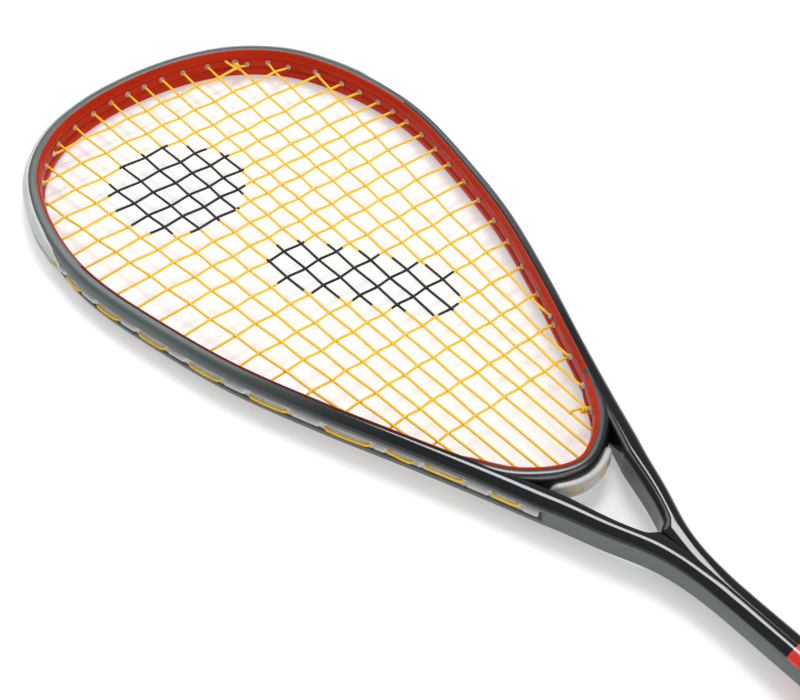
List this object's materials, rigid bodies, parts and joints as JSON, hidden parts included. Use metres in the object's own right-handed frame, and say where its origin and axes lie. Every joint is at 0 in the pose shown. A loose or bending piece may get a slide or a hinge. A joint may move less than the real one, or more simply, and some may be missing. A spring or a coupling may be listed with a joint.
{
  "type": "squash racket",
  "caption": "Squash racket with a teardrop hoop, open throat with a curved bridge, woven string bed, slim shaft and wrapped handle.",
  "frame": {"origin": "middle of the racket's bounding box in plan, on the plane that the butt cap's rim lies on", "axes": "+Y along the racket from the butt to the tip, +X across the string bed, +Z square to the string bed"},
  "size_m": [0.213, 0.686, 0.0312],
  "materials": {
    "frame_paint": "gloss",
    "bridge_paint": "gloss",
    "bumper_plastic": "satin",
    "strip_plastic": "satin",
    "string_filament": "satin",
    "plug_foam": "matte",
    "handle_foam": "matte",
    "cap_plastic": "satin",
    "staple_steel": "satin",
    "grip_wrap": "matte",
    "finishing_tape": "satin",
    "collar_rubber": "matte"
  },
  "bodies": {
    "root": {"frame_rail": "frame_paint", "throat_bridge": "bridge_paint", "head_bumper": "bumper_plastic", "left_grommet_strip": "strip_plastic", "right_grommet_strip": "strip_plastic", "throat_grommet_strip": "strip_plastic", "string": "string_filament", "shaft_foam_plug": "plug_foam", "handle_foam": "handle_foam", "butt_cap": "cap_plastic", "upper_cap_staple": "staple_steel", "lower_cap_staple": "staple_steel", "grip_wrap": "grip_wrap", "grip_finishing_tape": "finishing_tape", "grip_collar": "collar_rubber"}
  },
  "joints": []
}
